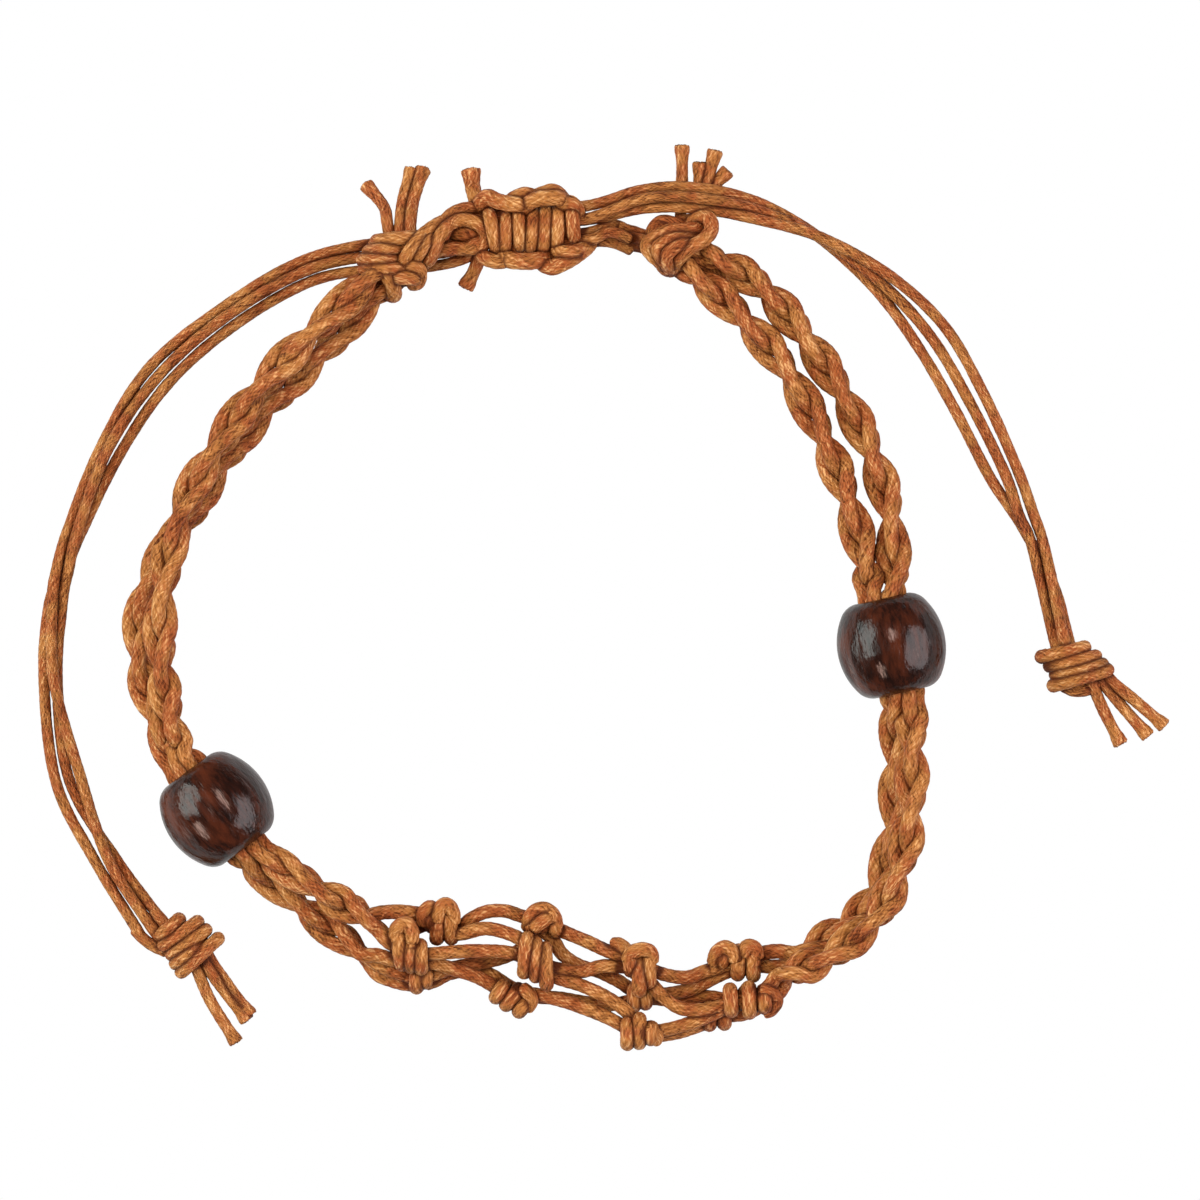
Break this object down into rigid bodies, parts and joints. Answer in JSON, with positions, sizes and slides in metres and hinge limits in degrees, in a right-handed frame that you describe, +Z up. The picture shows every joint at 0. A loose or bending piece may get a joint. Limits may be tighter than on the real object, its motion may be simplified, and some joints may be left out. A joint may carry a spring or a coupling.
{
  "type": "macrame bracelet",
  "caption": "Adjustable knotted cord bracelet lying open: twin braids on each side, a dark wooden bead in each, a knotted net, a sliding knot and loose tails.",
  "frame": {"origin": "on the plane that the bracelet lies on, under the middle of the loop without its loose tails", "axes": "+Z up, +Y from the net to the sliding knot, +X towards the right-hand bead in the picture"},
  "size_m": [0.0847, 0.0676, 0.0081],
  "materials": {
    "bead_wood": "polished and lacquered, very dark brown",
    "braid_cord": "waxed cotton, caramel brown",
    "net_cord": "waxed cotton, caramel brown",
    "knot_cord": "waxed cotton, light caramel brown",
    "tail_cord": "waxed cotton, caramel brown"
  },
  "bodies": {
    "root": {"left_bead": "bead_wood", "right_bead": "bead_wood", "left_strand_1": "braid_cord", "left_strand_2": "braid_cord", "left_strand_3": "braid_cord", "left_strand_4": "braid_cord", "left_strand_5": "braid_cord", "left_strand_6": "braid_cord", "right_strand_1": "braid_cord", "right_strand_2": "braid_cord", "right_strand_3": "braid_cord", "right_strand_4": "braid_cord", "right_strand_5": "braid_cord", "right_strand_6": "braid_cord", "net_knot_1": "net_cord", "net_knot_2": "net_cord", "net_knot_3": "net_cord", "net_knot_4": "net_cord", "net_knot_5": "net_cord", "net_knot_6": "net_cord", "net_knot_7": "net_cord", "net_knot_8": "net_cord", "net_knot_9": "net_cord", "net_knot_10": "net_cord", "net_knot_11": "net_cord", "net_knot_12": "net_cord", "net_strand_1": "net_cord", "net_strand_2": "net_cord", "net_strand_3": "net_cord", "net_strand_4": "net_cord", "net_strand_5": "net_cord", "net_strand_6": "net_cord", "left_gather_knot": "knot_cord", "right_gather_knot": "knot_cord", "sliding_knot": "knot_cord", "right_tail_strand_1": "tail_cord", "right_tail_strand_2": "tail_cord", "right_tail_strand_3": "tail_cord", "left_tail_strand_1": "tail_cord", "left_tail_strand_2": "tail_cord", "left_tail_strand_3": "tail_cord", "right_tail_knot": "knot_cord", "left_tail_knot": "knot_cord"}
  },
  "joints": []
}
